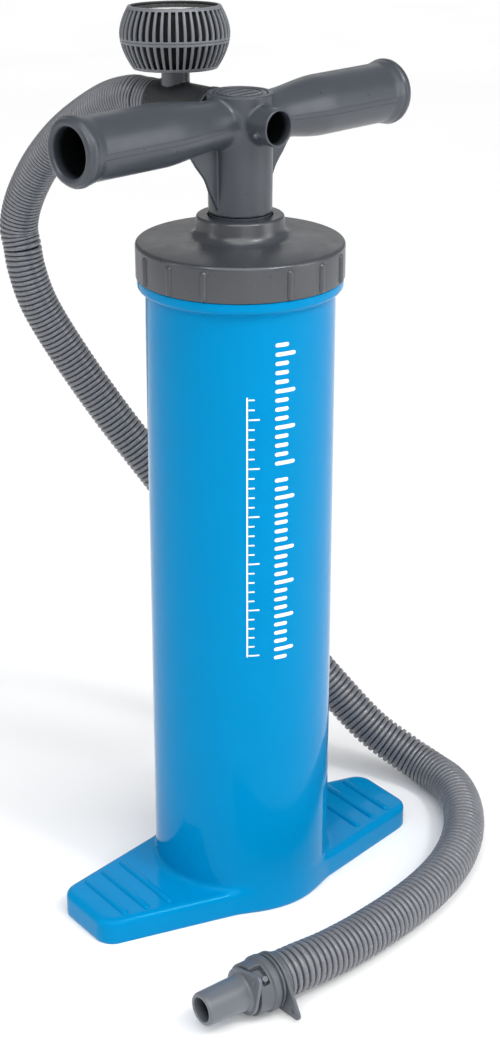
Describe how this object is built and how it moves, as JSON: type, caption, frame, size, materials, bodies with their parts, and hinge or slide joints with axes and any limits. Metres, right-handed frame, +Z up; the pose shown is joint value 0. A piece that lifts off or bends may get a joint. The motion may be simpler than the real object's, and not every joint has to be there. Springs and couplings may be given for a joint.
{
  "type": "double action hand pump",
  "caption": "Upright hand pump with a round barrel on two treaded feet, a T handle with ports, a caged gauge and a ribbed hose ending in a bayonet nozzle.",
  "frame": {"origin": "centre of the barrel's underside, on the plane that the base rests on", "axes": "+Z up along the barrel, +X along the feet, -Y the front, towards which the free port points"},
  "size_m": [0.2976, 0.3709, 0.542],
  "materials": {
    "blue_plastic": "gloss, moulded",
    "grey_plastic": "satin, moulded",
    "hose_plastic": "satin, corrugated",
    "black_rubber": "matt",
    "white_plastic": "printed matt",
    "clear_plastic": "clear, polished",
    "zinc_steel": "zinc plated"
  },
  "bodies": {
    "barrel": {"pump_barrel": "blue_plastic", "screw_cap": "grey_plastic", "cap_gasket": "black_rubber", "shaft_bush": "grey_plastic", "shaft_wiper": "black_rubber", "hose_lower_run": "hose_plastic", "hose_socket_lower": "grey_plastic"},
    "carriage": {"piston_seal": "black_rubber"},
    "handle": {"pump_handle": "grey_plastic", "hub_cap": "grey_plastic", "shaft_tube": "grey_plastic", "shaft_inner_tube": "grey_plastic", "piston_lower_plate": "grey_plastic", "piston_upper_plate": "grey_plastic", "piston_screw": "zinc_steel", "valve_flap_lower": "black_rubber", "valve_flap_upper": "black_rubber", "gauge_tee": "grey_plastic", "hose_cuff_upper": "hose_plastic", "gauge_cage_lower": "grey_plastic", "gauge_cage_upper": "grey_plastic", "gauge_can": "black_rubber", "gauge_dial": "white_plastic", "gauge_lens": "clear_plastic", "hose_upper_run": "hose_plastic"},
    "pointer": {"gauge_pointer": "black_rubber"},
    "nozzle": {"nozzle": "grey_plastic"}
  },
  "joints": [
    {"name": "pump_stroke", "type": "slide", "parent": "barrel", "child": "carriage", "axis": [0, 0, 1], "range_m": [0, 0.32]},
    {"name": "handle_turn", "type": "hinge", "parent": "carriage", "child": "handle", "pos_m": [0, 0, 0.484], "axis": [0, 0, 1], "range_deg": [-35, 35]},
    {"name": "gauge_needle", "type": "hinge", "parent": "handle", "child": "pointer", "pos_m": [-0.00692, 0.05255, 0.503], "axis": [0.0269, 0.0493, 0.9984], "range_deg": [-250, 0]},
    {"name": "nozzle_twist", "type": "hinge", "parent": "barrel", "child": "nozzle", "pos_m": [-0.0683, -0.129, 0.017], "axis": [-1, 0, 0], "range_deg": [0, 25]}
  ]
}
